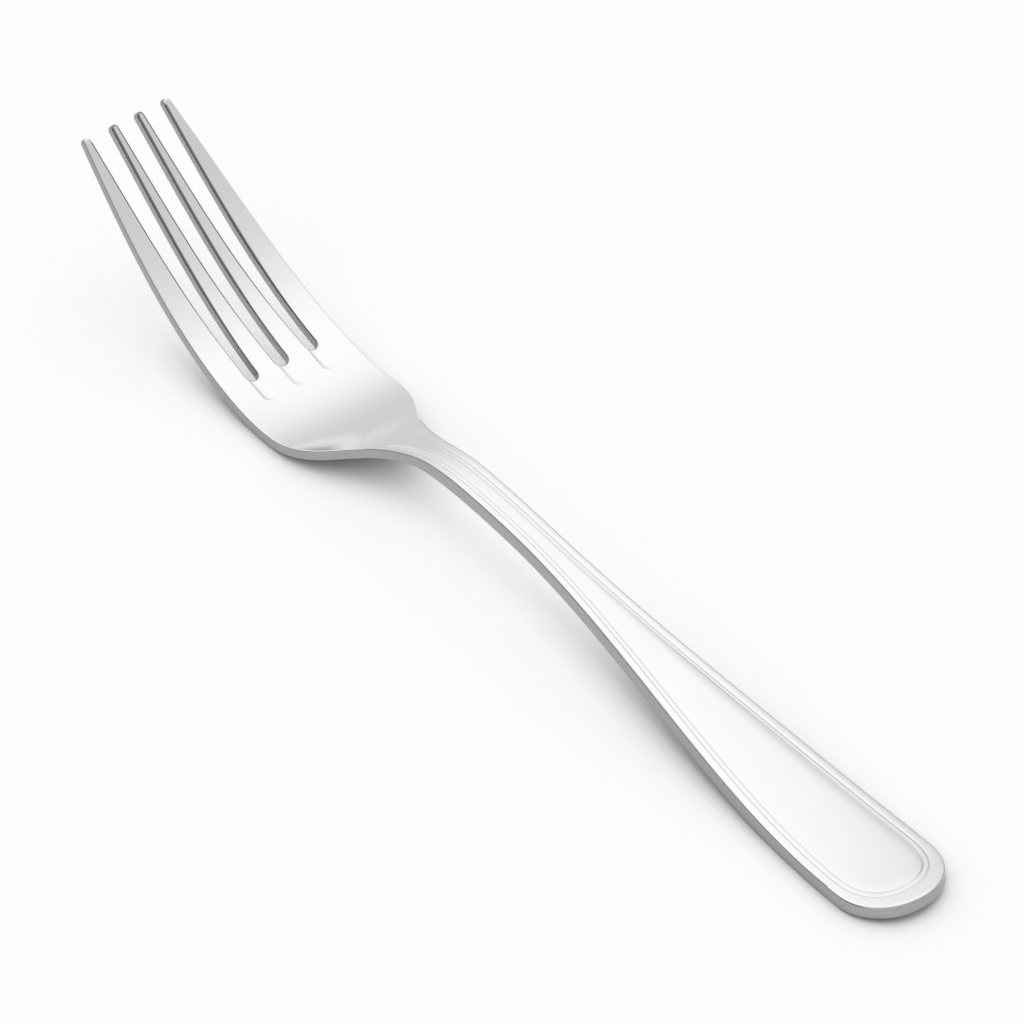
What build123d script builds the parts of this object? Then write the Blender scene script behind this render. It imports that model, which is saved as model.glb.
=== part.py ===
from build123d import *
import math
import os

# A dinner fork stamped and coined from one sheet of stainless steel. All sizes are in millimetres.
# Stations are measured along the fork from the end of the handle. +X runs towards the tips of
# the tines and +Z is up, with the fork lying as it rests on a table.

# Plan
overall_length = 205.0
handle_end_width = 19.0
handle_cap_length = 9.8
handle_cap_squareness = 2.1
neck_width = 6.2
neck_station = 99.8
neck_fillet_radius = 30.5
flank_angle = 33.0
shoulder_station = 143.7
shoulder_radius = 18.6
head_width = 24.8
tip_span = 17.45
side_sweep = 2.3
slot_root_station = 161.7
inner_tine_root_width = 3.8
centre_slot_root_width = 2.6
outer_slot_root_width = 2.2
outer_slot_bow = 0.16
centre_slot_bow = 0.1
tine_tip_width = 1.33
inner_tip_pitch = 5.3

# Side view: heights of the underside above the table, and thicknesses on the centre line
handle_end_lift = 1.2
handle_rest_station = 20.0
arch_station = 112.0
arch_height = 10.4
heel_station = 152.0
tip_lift = 27.65
handle_thickness = 3.0
neck_thickness = 2.75
flank_thickness = 1.85
head_thickness = 1.95
tip_thickness = 1.8
# Points of the side view between those stations: (share of the way, share of the height)
handle_rise = [(0.27, 0.195), (0.6, 0.628)]
head_drop = [(0.2, 0.962), (0.45, 0.694), (0.7, 0.258)]
tine_rise = [(0.245, 0.0924), (0.53, 0.3512)]

# Section: the faces of the handle and of the tines are crowned, and the head is dished
crown_radius = 95.0
dish_radius = 250.0
dish_fade_length = 22.0
tine_crown_radius = 120.0

# Bead border of the handle, between two coined grooves
rim_width = 1.65
rim_width_at_neck = 1.35
rim_width_at_end = 3.3
bead_width = 0.92
bead_width_at_neck = 0.7
border_cap_station = 13.0
border_squareness = 2.5
border_fade_length = 6.0
border_end_station = 128.0
groove_width = 0.28
groove_depth = 0.12

# Scoops that run out of the slots into the head
scoop_length = 4.7
scoop_depth = 0.35
scoop_radius = 2.2
scoop_overrun = 1.5

# How far the cutting bodies stand clear of the sheet
margin = 2.0

# How finely the curves and the sheet are stepped
cap_steps = 8
taper_steps = 8
tine_side_steps = 6
border_steps = 12
sheet_steps = 30
search_steps = 30

half_head = head_width / 2
half_neck = neck_width / 2
half_handle = handle_end_width / 2
tip_radius = tine_tip_width / 2
tip_start_station = overall_length - tip_radius
flank = math.radians(flank_angle)
flank_direction = (math.cos(flank), math.sin(flank))
neck_corner_station = shoulder_station - (half_head - half_neck) / math.tan(flank)
neck_tangent = neck_fillet_radius * math.tan(flank / 2)
shoulder_tangent = shoulder_radius * math.tan(flank / 2)
shoulder_end_station = shoulder_station + shoulder_tangent
slot_inner_half = centre_slot_root_width / 2
inner_tine_outer_half = slot_inner_half + inner_tine_root_width
outer_slot_middle = inner_tine_outer_half + outer_slot_root_width / 2
cut_height = max(tip_lift, arch_height) + handle_thickness + 2 * margin


def ease(share):
    """Smooth step from 0 to 1 with level ends."""
    held = min(max(share, 0.0), 1.0)
    return (1 - math.cos(math.pi * held)) / 2


def blend(station, stops):
    """Value at a station, eased between neighbouring (station, value) stops."""
    value = stops[0][1]
    for (start, first), (end, last) in zip(stops, stops[1:]):
        if station >= start:
            value = first + (last - first) * ease((station - start) / (end - start))
    return value


def spaced(start, end, count):
    """Evenly spaced stations, both ends included."""
    return [start + (end - start) * step / count for step in range(count + 1)]


def rounded_cap(end_station, widest_station, half_width, squareness):
    """Points of a rounded end, from its widest station to its end on the centre line."""
    points = []
    for angle in spaced(math.pi / 2, 0.0, cap_steps):
        share_in = max(math.cos(angle), 0.0) ** (2 / squareness)
        share_out = math.sin(angle) ** (2 / squareness)
        station = widest_station - (widest_station - end_station) * share_in
        points.append((station, half_width * share_out))
    return points


# ---- plan ----

def handle_half_width(station):
    """Half width of the handle between its rounded end and the flank of the head."""
    taper = [(handle_cap_length, half_handle), (neck_station, half_neck)]
    along_fillet = max(station - (neck_corner_station - neck_tangent), 0.0)
    flare = neck_fillet_radius - math.sqrt(neck_fillet_radius**2 - along_fillet**2)
    return blend(station, taper) + flare


def head_half_width(station):
    """Half width of the head between the shoulder and the tips."""
    way = (station - shoulder_end_station) / (overall_length - shoulder_end_station)
    return half_head - (half_head - tip_span / 2) * way**side_sweep


def handle_edges():
    """Outline of one side of the handle, from its end to the neck."""
    cap = rounded_cap(0.0, handle_cap_length, half_handle, handle_cap_squareness)
    stations = spaced(handle_cap_length, neck_station, taper_steps)
    taper = [(station, handle_half_width(station)) for station in stations]
    along = (1, 0)
    return [
        Spline(cap, tangents=[(-1, 0), (0, -1)]),
        Spline(taper, tangents=[along, along]),
    ]


def shoulder_edges():
    """Outline of one side from the neck out to the shoulder of the head."""
    direction = Vector(*flank_direction)
    along = Vector(1, 0)
    neck_corner = Vector(neck_corner_station, half_neck)
    shoulder = Vector(shoulder_station, half_head)
    neck_start = neck_corner - along * neck_tangent
    flank_start = neck_corner + direction * neck_tangent
    flank_end = shoulder - direction * shoulder_tangent
    shoulder_end = shoulder + along * shoulder_tangent
    return [
        Line((neck_station, half_neck), neck_start),
        TangentArc(neck_start, flank_start, tangent=along),
        Line(flank_start, flank_end),
        TangentArc(flank_end, shoulder_end, tangent=direction),
    ]


def outer_tine_edges():
    """Outline of one outer tine, from the shoulder over the tip to the root of its slot."""
    stations = spaced(shoulder_end_station, tip_start_station, tine_side_steps)
    side = [(station, head_half_width(station)) for station in stations]
    outer_tip = Vector(*side[-1])
    inner_tip = outer_tip - Vector(0, tine_tip_width)
    tip = Vector(overall_length, outer_tip.Y - tip_radius)
    root_radius = outer_slot_root_width / 2
    root_end = Vector(slot_root_station + root_radius, outer_slot_middle + root_radius)
    bowed = (inner_tip + root_end) / 2 - Vector(0, outer_slot_bow)
    root_start = Vector(root_end.X, inner_tine_outer_half)
    return [
        Spline(side),
        ThreePointArc(outer_tip, tip, inner_tip),
        ThreePointArc(inner_tip, bowed, root_end),
        ThreePointArc(root_end, (slot_root_station, outer_slot_middle), root_start),
    ]


def inner_tine_edges():
    """Outline of one inner tine, from its outer slot over the tip to the centre slot."""
    tip_middle = inner_tip_pitch / 2
    outer_root = (slot_root_station + outer_slot_root_width / 2, inner_tine_outer_half)
    outer_tip = (tip_start_station, tip_middle + tip_radius)
    inner_tip = (tip_start_station, tip_middle - tip_radius)
    inner_root = (slot_root_station + slot_inner_half, slot_inner_half)
    bowed = (Vector(*inner_tip) + Vector(*inner_root)) / 2 - Vector(0, centre_slot_bow)
    return [
        Line(outer_root, outer_tip),
        ThreePointArc(outer_tip, (overall_length, tip_middle), inner_tip),
        ThreePointArc(inner_tip, bowed, inner_root),
    ]


def outline():
    """The fork's outline in plan, with its four tines and three slots."""
    side = handle_edges() + shoulder_edges() + outer_tine_edges() + inner_tine_edges()
    other_side = [mirror(edge, about=Plane.XZ) for edge in side]
    root_start = (slot_root_station + slot_inner_half, slot_inner_half)
    root_end = (root_start[0], -slot_inner_half)
    centre_root = ThreePointArc(root_start, (slot_root_station, 0), root_end)
    return make_face(side + other_side + [centre_root])


# ---- the formed sheet ----

def between(start, end, shares):
    """Side-view points between two (station, height) points, from shares of way and height."""
    way = end[0] - start[0]
    rise = end[1] - start[1]
    return [(start[0] + way * along, 0, start[1] + rise * up) for along, up in shares]


def side_view():
    """Underside of the fork along its centre line."""
    end = (0.0, handle_end_lift)
    rest = (handle_rest_station, 0.0)
    arch = (arch_station, arch_height)
    heel = (heel_station, 0.0)
    tip = (overall_length, tip_lift)
    fall = [(along, 1 - up) for along, up in head_drop]
    points = [(end[0], 0, end[1]), (rest[0], 0, rest[1])]
    points += between(rest, arch, handle_rise) + [(arch[0], 0, arch[1])]
    points += between(arch, heel, fall) + [(heel[0], 0, heel[1])]
    points += between(heel, tip, tine_rise) + [(tip[0], 0, tip[1])]
    return Spline(points)


underside = side_view()


def underside_at(station):
    """Height and slope of the underside, which runs straight on past the fork's ends."""
    low = 0.0
    high = 1.0
    for _ in range(search_steps):
        middle = (low + high) / 2
        if (underside @ middle).X < station:
            low = middle
        else:
            high = middle
    point = underside @ low
    direction = underside % low
    slope = direction.Z / direction.X
    return point.Z + slope * (station - point.X), slope


def thickness_at(station):
    """Thickness on the centre line, square to the sheet."""
    stops = [
        (handle_rest_station, handle_thickness),
        (arch_station, neck_thickness),
        (neck_corner_station, flank_thickness),
        (heel_station, head_thickness),
        (overall_length, tip_thickness),
    ]
    return blend(station, stops)


def bend_at(station):
    """Curvature of the face across the fork: above zero it is crowned, below zero dished."""
    stops = [
        (arch_station, 1 / crown_radius),
        (neck_corner_station, 0.0),
        (shoulder_station, -1 / dish_radius),
        (heel_station, -1 / dish_radius),
        (heel_station + dish_fade_length, 0.0),
        (overall_length, 1 / tine_crown_radius),
    ]
    return blend(station, stops)


def top_at(station):
    """Height of the face on the centre line."""
    height, slope = underside_at(station)
    return height + thickness_at(station) * math.sqrt(1 + slope**2)


def section(station):
    """Cross-section of the formed sheet before its outline is cut, wider than the head."""
    reach = half_head + margin
    base = underside_at(station)[0]
    top = top_at(station)
    bend = bend_at(station)
    top_drop = bend * reach**2 / 2
    base_rise = max(-bend, 0.0) * reach**2 / 2
    face = Spline(
        (station, -reach, top - top_drop),
        (station, 0, top),
        (station, reach, top - top_drop),
    )
    back = Spline(
        (station, reach, base + base_rise),
        (station, 0, base),
        (station, -reach, base + base_rise),
    )
    return Wire([face, Line(face @ 1, back @ 0), back, Line(back @ 1, face @ 0)])


def formed_sheet():
    """The sheet with the fork's side view, crown and dish, before its outline is cut."""
    stations = spaced(-margin, overall_length + margin, sheet_steps)
    return Solid.make_loft([section(station) for station in stations])


# ---- coined details ----

def border_half_width(station, share):
    """Half width at the bead border: share 0 is the bead's outer groove, 1 its inner groove."""
    rim = blend(station, [(border_cap_station, rim_width), (neck_station, rim_width_at_neck)])
    bead = blend(station, [(border_cap_station, bead_width), (neck_station, bead_width_at_neck)])
    fade = ease((station - border_end_station + border_fade_length) / border_fade_length)
    spread = 0.5 + (share - 0.5) * (1 - fade)
    return handle_half_width(station) - rim - bead * spread


def border_line(share, offset):
    """Edges of one side of a groove: along the handle, round its end and back."""
    stations = spaced(border_end_station, border_cap_station, border_steps)
    side = [(station, border_half_width(station, share) + offset) for station in stations]
    end_station = rim_width_at_end + share * bead_width - offset
    cap = rounded_cap(end_station, border_cap_station, side[-1][1], border_squareness)
    mirrored_side = [(station, -across) for station, across in reversed(side)]
    mirrored_cap = [(station, -across) for station, across in reversed(cap[:-1])]
    return [Spline(side), Spline(cap + mirrored_cap), Spline(mirrored_side)]


def groove(share, sheet):
    """Body that cuts one groove of the bead border into the face of the sheet."""
    outer = border_line(share, groove_width / 2)
    inner = border_line(share, -groove_width / 2)
    first_end = Line(outer[0] @ 0, inner[0] @ 0)
    second_end = Line(outer[-1] @ 1, inner[-1] @ 1)
    band = extrude(make_face(outer + inner + [first_end, second_end]), amount=cut_height)
    return band - Pos(0, 0, -groove_depth) * sheet


def coined_sheet():
    """The formed sheet with both grooves of the bead border."""
    sheet = formed_sheet()
    return sheet - groove(0, sheet) - groove(1, sheet)


def scoop(middle):
    """Ball-ended body that cuts the scoop at the root of one slot."""
    half_length = math.sqrt(scoop_radius**2 - (scoop_radius - scoop_depth) ** 2)
    first = slot_root_station - scoop_length + half_length
    last = slot_root_station + scoop_overrun
    lift = scoop_radius - scoop_depth
    start = Vector(first, middle, top_at(first) + lift)
    end = Vector(last, middle, top_at(last) + lift)
    run = end - start
    shank = Cylinder(scoop_radius, run.length, align=(Align.CENTER, Align.CENTER, Align.MIN))
    return Plane(origin=start, z_dir=run) * shank + Pos(start) * Sphere(scoop_radius)


def square_tips(fork):
    """Cuts the ends of the tines square to the sheet, up from the lower edge of the tips."""
    height, slope = underside_at(overall_length)
    end = Plane(origin=(overall_length, 0, height), z_dir=(1, 0, slope))
    return split(fork, bisect_by=end, keep=Keep.BOTTOM)


def make_fork():
    """The whole fork, standing on z = 0 with its length centred on the origin."""
    fork = square_tips(extrude(outline(), amount=cut_height) & coined_sheet())
    for middle in (-outer_slot_middle, 0.0, outer_slot_middle):
        fork -= scoop(middle)
    lowest = fork.bounding_box().min.Z
    return Pos(-overall_length / 2, 0, -lowest) * fork


os.makedirs("parts", exist_ok=True)
fork = make_fork()
export_step(fork, "parts/fork.step")
print("fork", fork.volume, fork.bounding_box())
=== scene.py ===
import math

import bmesh
import bpy
import numpy as np
from bpy.props import FloatProperty, FloatVectorProperty, PointerProperty
from bpy.types import Operator, Panel, PropertyGroup
from mathutils import Matrix, Vector


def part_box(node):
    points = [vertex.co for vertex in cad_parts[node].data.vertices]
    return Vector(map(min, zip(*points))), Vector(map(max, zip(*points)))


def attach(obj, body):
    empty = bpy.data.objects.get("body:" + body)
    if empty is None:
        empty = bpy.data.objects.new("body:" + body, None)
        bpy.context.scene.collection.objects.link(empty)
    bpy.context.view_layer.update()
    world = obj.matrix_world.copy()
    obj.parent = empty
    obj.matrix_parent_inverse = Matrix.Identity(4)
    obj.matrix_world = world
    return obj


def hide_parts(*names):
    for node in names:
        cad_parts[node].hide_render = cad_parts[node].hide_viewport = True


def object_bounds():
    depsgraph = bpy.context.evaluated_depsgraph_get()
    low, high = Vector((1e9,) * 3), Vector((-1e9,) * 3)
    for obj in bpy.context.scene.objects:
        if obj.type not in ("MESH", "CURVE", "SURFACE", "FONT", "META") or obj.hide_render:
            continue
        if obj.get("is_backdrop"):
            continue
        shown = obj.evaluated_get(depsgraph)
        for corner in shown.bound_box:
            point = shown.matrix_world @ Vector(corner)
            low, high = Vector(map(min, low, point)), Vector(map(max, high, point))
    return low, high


bl_info = {
    "name": "Dinner Fork",
    "version": (1, 0, 0),
    "blender": (4, 5, 0),
    "location": "View3D > Sidebar > Dinner Fork",
    "description": "A polished steel dinner fork with a bead border, and the studio it lies in",
    "category": "Add Mesh",
}

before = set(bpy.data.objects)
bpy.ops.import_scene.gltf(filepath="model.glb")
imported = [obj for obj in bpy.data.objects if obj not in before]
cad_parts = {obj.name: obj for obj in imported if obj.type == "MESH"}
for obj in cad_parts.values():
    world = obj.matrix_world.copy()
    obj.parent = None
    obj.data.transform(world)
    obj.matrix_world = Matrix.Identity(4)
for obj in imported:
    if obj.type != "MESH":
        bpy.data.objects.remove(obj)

MM = 0.001
FORK_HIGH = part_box("fork")[1]


# ---- sizes and colours ----

def length(name, millimetres, description):
    """A size in metres, shown in the scene's own unit."""
    return FloatProperty(
        name=name,
        description=description,
        default=millimetres * MM,
        unit="LENGTH",
        precision=5,
    )


def degrees(name, angle, description):
    """An angle, shown in degrees."""
    return FloatProperty(
        name=name,
        description=description,
        default=math.radians(angle),
        subtype="ANGLE",
    )


def number(name, value, description):
    """A plain number."""
    return FloatProperty(name=name, description=description, default=value, precision=4)


def colour(name, value, description):
    """A colour in linear light."""
    return FloatVectorProperty(
        name=name,
        description=description,
        default=value,
        min=0.0,
        max=1.0,
        size=3,
        subtype="COLOR",
    )


def direction(name, value, description):
    """A direction, of any length."""
    return FloatVectorProperty(
        name=name,
        description=description,
        default=value,
        size=3,
        subtype="DIRECTION",
    )


def spread(name, start, full):
    """How a part of the light tent comes in; where it would be full above 1, it never quite is."""
    return FloatVectorProperty(
        name=name,
        description="Cosines of the angles off its direction where it starts and where it is full",
        default=(start, full),
        size=2,
        precision=3,
    )


class ForkPlan(PropertyGroup):
    """The outline seen from above. Stations are measured from the end of the handle."""
    overall_length: length("Length", 205.0, "From the handle's end to the tips")
    handle_end_width: length("Handle end width", 19.0, "Width of the handle at its widest")
    cap_length: length("Handle cap length", 9.8, "From the end to the widest station")
    cap_squareness: number("Cap squareness", 2.1, "2 is an ellipse, more is squarer")
    neck_width: length("Neck width", 6.2, "Width of the neck")
    neck_station: length("Neck station", 99.8, "Where the handle has narrowed to the neck")
    neck_fillet: length("Neck fillet", 30.5, "Radius from the neck into the head's flank")
    flank_angle: degrees("Flank angle", 33.0, "Angle of the flank to the fork's line")
    shoulder_station: length("Shoulder station", 143.7, "Where the flank reaches the head")
    shoulder_radius: length("Shoulder radius", 18.6, "Radius of the head's shoulder")
    head_width: length("Head width", 24.8, "Width of the head")
    tip_span: length("Tip span", 17.45, "Width over the outer tips")
    side_sweep: number("Side sweep", 2.3, "How late the head's sides draw in")
    slot_root: length("Slot root station", 161.7, "Where the slots end")
    inner_tine_root: length("Inner tine width", 3.8, "Width of an inner tine at its root")
    centre_slot_root: length("Centre slot width", 2.6, "Width of the centre slot's root")
    outer_slot_root: length("Outer slot width", 2.2, "Width of an outer slot's root")
    outer_slot_bow: length("Outer slot bow", 0.16, "How far an outer tine's slot side bows")
    centre_slot_bow: length("Centre slot bow", 0.1, "How far an inner tine's centre side bows")
    tip_width: length("Tip width", 1.33, "Width of a tine at its tip")
    inner_tip_pitch: length("Inner tip pitch", 5.3, "Between the middles of the inner tips")


class ForkSideView(PropertyGroup):
    """Heights of the underside and thicknesses along the centre line."""
    end_lift: length("Handle end lift", 1.2, "Height of the handle's end above the table")
    end_slope: number("End slope", -0.147, "Slope of the underside at the handle's end")
    tip_slope: number("Tip slope", 0.7512, "Slope of the underside at the tips")
    rest_station: length("Rest station", 20.0, "Where the handle touches the table")
    arch_station: length("Arch station", 112.0, "Where the neck is highest")
    arch_height: length("Arch height", 10.4, "Height of the underside at the arch")
    heel_station: length("Heel station", 152.0, "Where the head touches the table")
    tip_lift: length("Tip lift", 27.65, "Height of the underside at the tips")
    handle_thickness: length("Handle thickness", 3.0, "Thickness of the handle")
    neck_thickness: length("Neck thickness", 2.75, "Thickness at the arch")
    flank_thickness: length("Flank thickness", 1.85, "Thickness where the flanks start")
    head_thickness: length("Head thickness", 1.95, "Thickness at the heel")
    tip_thickness: length("Tip thickness", 1.8, "Thickness at the tips")
    crown_radius: length("Crown radius", 95.0, "Radius of the handle's face across the fork")
    dish_radius: length("Dish radius", 250.0, "Radius of the head's dish across the fork")
    dish_fade: length("Dish fade", 22.0, "How far past the heel the dish runs out")
    tine_crown_radius: length("Tine crown radius", 120.0, "Radius over the tips of the tines")
    tine_level: length("Tine level", 16.0, "How far past the slots' roots each tine has levelled")
    top_rounding: length("Upper edge radius", 0.4, "Rounding of the upper edges")
    bottom_rounding: length("Lower edge radius", 0.2, "Rounding of the lower edges")


class ForkDetail(PropertyGroup):
    """The bead border of the handle and the scoops of the head."""
    rim: length("Rim", 1.65, "From the edge to the bead at the handle's end")
    rim_at_neck: length("Rim at neck", 1.35, "From the edge to the bead at the neck")
    rim_at_end: length("Rim at end", 3.3, "From the handle's end to the bead")
    rim_roll: length("Rim roll", 0.04, "How far the rim rolls off at its edge")
    rim_roll_width: length("Rim roll width", 0.95, "Width of the rim's roll-off")
    bead: length("Bead", 0.92, "Between the bead's two grooves")
    bead_at_neck: length("Bead at neck", 0.7, "Between the grooves at the neck")
    border_cap: length("Border cap station", 13.0, "Where the border's round end starts")
    border_squareness: number("Border squareness", 2.5, "2 is an ellipse, more is squarer")
    border_end: length("Border end", 130.0, "Where the two grooves meet")
    border_fade: length("Border fade", 4.0, "Over how long the grooves close up")
    outer_groove_width: length("Outer groove width", 0.3, "Width of the bead's outer groove")
    outer_groove_depth: length("Outer groove depth", 0.07, "Depth of the bead's outer groove")
    inner_groove_width: length("Inner groove width", 0.4, "Width of the bead's inner groove")
    inner_groove_depth: length("Inner groove depth", 0.11, "Depth of the bead's inner groove")
    dip_width: length("Dip width", 0.6, "How far the face dips on each side of the outer groove")
    dip_depth: length("Dip depth", 0.035, "How far the face dips at the outer groove")
    pillow_width: length("Pillow width", 2.0, "How far in the panel rounds off to its border")
    pillow_slope: number("Pillow slope", 0.1, "Slope of the panel at its border")
    scoop_length: length("Scoop length", 4.7, "How far a scoop runs past its slot")
    scoop_depth: length("Scoop depth", 0.11, "Depth of a scoop")
    scoop_width: length("Scoop width", 2.4, "Width of a scoop")
    scoop_steepness: number("Scoop steepness", 4.0, "2 is an even hollow, more is flatter inside")


class ForkFinish(PropertyGroup):
    """The steel's colours and surface."""
    steel: colour("Steel", (0.88, 0.88, 0.875), "Colour of the polished steel")
    edge_steel: colour("Edge steel", (0.44, 0.44, 0.435), "Colour of the satin cut edges")
    # Painted shade: a darker copy of the polished steel for the rounded edges along the slots, in place
    # of the dark reflections that they show.
    painted_shade_steel: colour("Painted shade edge steel", (0.3, 0.3, 0.295), "Colour of the rounded edges at the slots")
    polish: number("Polish roughness", 0.13, "Roughness of the polished faces")
    satin: number("Satin roughness", 0.5, "Roughness of the cut edges")
    grain: length("Edge grain", 0.15, "Size of the grain on the cut edges")
    contrast: number("Grain contrast", 0.12, "How much the grain darkens and brightens")
    haze: length("Polish haze", 9.0, "Size of the polish's soft unevenness")


class ForkStudio(PropertyGroup):
    """The floor, the light and the camera."""
    floor_colour: colour("Floor", (0.985, 0.985, 0.985), "Colour of the floor")
    floor_span: length("Floor span", 6000.0, "Side of the square floor")
    # The floor is painted darker further out, from the falloff's start to its end: a painted falloff of
    # light round the fork.
    painted_falloff_colour: colour("Floor's edge", (0.62, 0.62, 0.62), "Colour of the floor further out")
    painted_falloff_start: length("Floor fade", 190.0, "Where the floor starts to darken")
    painted_falloff_end: length("Floor faded", 260.0, "Where the floor has darkened")
    floor_light: number("Floor light", 0.66, "Strength of the even light on the floor")
    floor_glow: number("Floor glow", 0.25, "Strength of the floor's own light")
    # Painted contact shadow: the floor's colour goes towards the contact shade where something stands
    # close over it.
    contact_reach: length("Contact reach", 12.0, "How far off a surface darkens the floor")
    contact_open: number("Contact open", 0.72, "Share of open sky from which the floor isn't darkened")
    contact_shade: colour("Contact shade", (0.0, 0.0, 0.0), "Floor colour where it is closed in")
    # Painted light: on the floor under and past the slots, away from the near side, the painted contact
    # shadow is lifted.
    painted_light_from: length("Lit from", 55.0, "How far ahead of the middle light comes through the slots")
    painted_light_fade: length("Lit fade", 8.0, "Over how far that light comes in")
    painted_light_side: length("Lit side", 5.0, "How far to the near side that light is full")
    painted_light_side_fade: length("Lit side fade", 4.0, "Over how far that light fades out past there")
    horizon_light: number("Horizon light", 0.7, "Strength of the tent at the horizon")
    zenith_light: number("Overhead light", 1.12, "Strength of the tent overhead")
    zenith_side: direction("Overhead", (0.0, 0.0, 1.0), "Towards the top of the tent")
    zenith_spread: spread("Overhead spread", 0.1, 0.95)
    dim_light: number("Dim side light", 0.45, "Strength of the tent at its dim side")
    dim_side: direction("Dim side", (0.0, -1.0, 0.0), "Towards the tent's dim side")
    dim_spread: spread("Dim side spread", 0.47, 0.95)
    open_light: number("Open side light", 0.55, "Strength of the tent where it is open")
    open_side: direction("Open side", (-0.77, 0.54, 0.34), "Towards the tent's opening")
    open_spread: spread("Open side spread", 0.05, 0.8)
    dark_light: number("Dark card light", 0.02, "Strength of the tent at its dark card")
    dark_side: direction("Dark card", (0.35, 0.93, 0.1), "Towards the tent's dark card")
    dark_spread: spread("Dark card spread", 0.8, 0.93)
    grey_light: number("Grey card light", 0.4, "Strength of the tent at its grey card")
    grey_side: direction("Grey card", (-0.78, -0.5, 0.38), "Towards the tent's grey card")
    grey_spread: spread("Grey card spread", 0.5, 1.3)
    lamp_strength: number("Lamp", 0.29, "Strength of the soft lamp overhead")
    lamp_softness: degrees("Lamp softness", 42.0, "Angle that the soft lamp covers")
    lamp_side: direction("Lamp direction", (0.1, -0.1, 1.0), "Towards the soft lamp")
    view_heading: degrees("View heading", 38.934, "Heading of the view from the fork's line")
    view_drop: degrees("View drop", 42.276, "How far the view looks down")
    view_distance: length("View distance", 1592.1, "From the camera to the point it looks at")
    view_ahead: length("View ahead", 10.447, "Point looked at, along the fork from its middle")
    view_aside: length("View aside", -8.763, "Point looked at, across the fork")
    focal_length: number("Focal length", 343.6, "Focal length of the lens in millimetres")
    sensor_width: number("Sensor width", 36.0, "Width of the camera's sensor in millimetres")


# ---- shape ----

def ease(share):
    """Smooth step from 0 to 1 with level ends."""
    held = min(max(share, 0.0), 1.0)
    return (1 - math.cos(math.pi * held)) / 2


def mix(first, last, share):
    """Value or vector between two others."""
    return first + (last - first) * share


def blend(station, stops):
    """Value at a station, eased between neighbouring (station, value) stops."""
    value = stops[0][1]
    for (start, first), (end, last) in zip(stops, stops[1:]):
        if station >= start:
            value = mix(first, last, ease((station - start) / (end - start)))
    return value


def spaced(start, end, step):
    """Stations at most a step apart, from start up to but not including end."""
    count = max(1, round(abs(end - start) / step))
    return [mix(start, end, index / count) for index in range(count)]


def between(start, end, shares):
    """Points between two (station, height) points, from shares of way and height."""
    return [(mix(start[0], end[0], along), mix(start[1], end[1], up)) for along, up in shares]


class SmoothCurve:
    """Cubic curve through (station, height) points, straight past its ends."""

    def __init__(self, points, start_slope, end_slope):
        self.stations, self.heights = np.array(points).T
        step = np.diff(self.stations)
        rise = np.diff(self.heights) / step
        count = len(self.stations)
        terms = np.eye(count)
        sums = np.zeros(count)
        sums[0], sums[-1] = start_slope, end_slope
        for i in range(1, count - 1):
            terms[i, i - 1:i + 2] = (step[i], 2 * (step[i - 1] + step[i]), step[i - 1])
            sums[i] = 3 * (step[i] * rise[i - 1] + step[i - 1] * rise[i])
        self.slopes = np.linalg.solve(terms, sums)

    def at(self, station):
        """Height and slope at a station."""
        if station <= self.stations[0] or station >= self.stations[-1]:
            end = 0 if station <= self.stations[0] else -1
            slope = self.slopes[end]
            return self.heights[end] + slope * (station - self.stations[end]), slope
        i = int(np.searchsorted(self.stations, station)) - 1
        step = self.stations[i + 1] - self.stations[i]
        way = (station - self.stations[i]) / step
        first, last = self.heights[i:i + 2]
        leave, arrive = self.slopes[i] * step, self.slopes[i + 1] * step
        height = (2 * way**3 - 3 * way**2 + 1) * first + (way**3 - 2 * way**2 + way) * leave
        height += (3 * way**2 - 2 * way**3) * last + (way**3 - way**2) * arrive
        slope = (6 * way**2 - 6 * way) * (first - last) + (3 * way**2 - 4 * way + 1) * leave
        slope += (3 * way**2 - 2 * way) * arrive
        return height, slope / step


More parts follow.
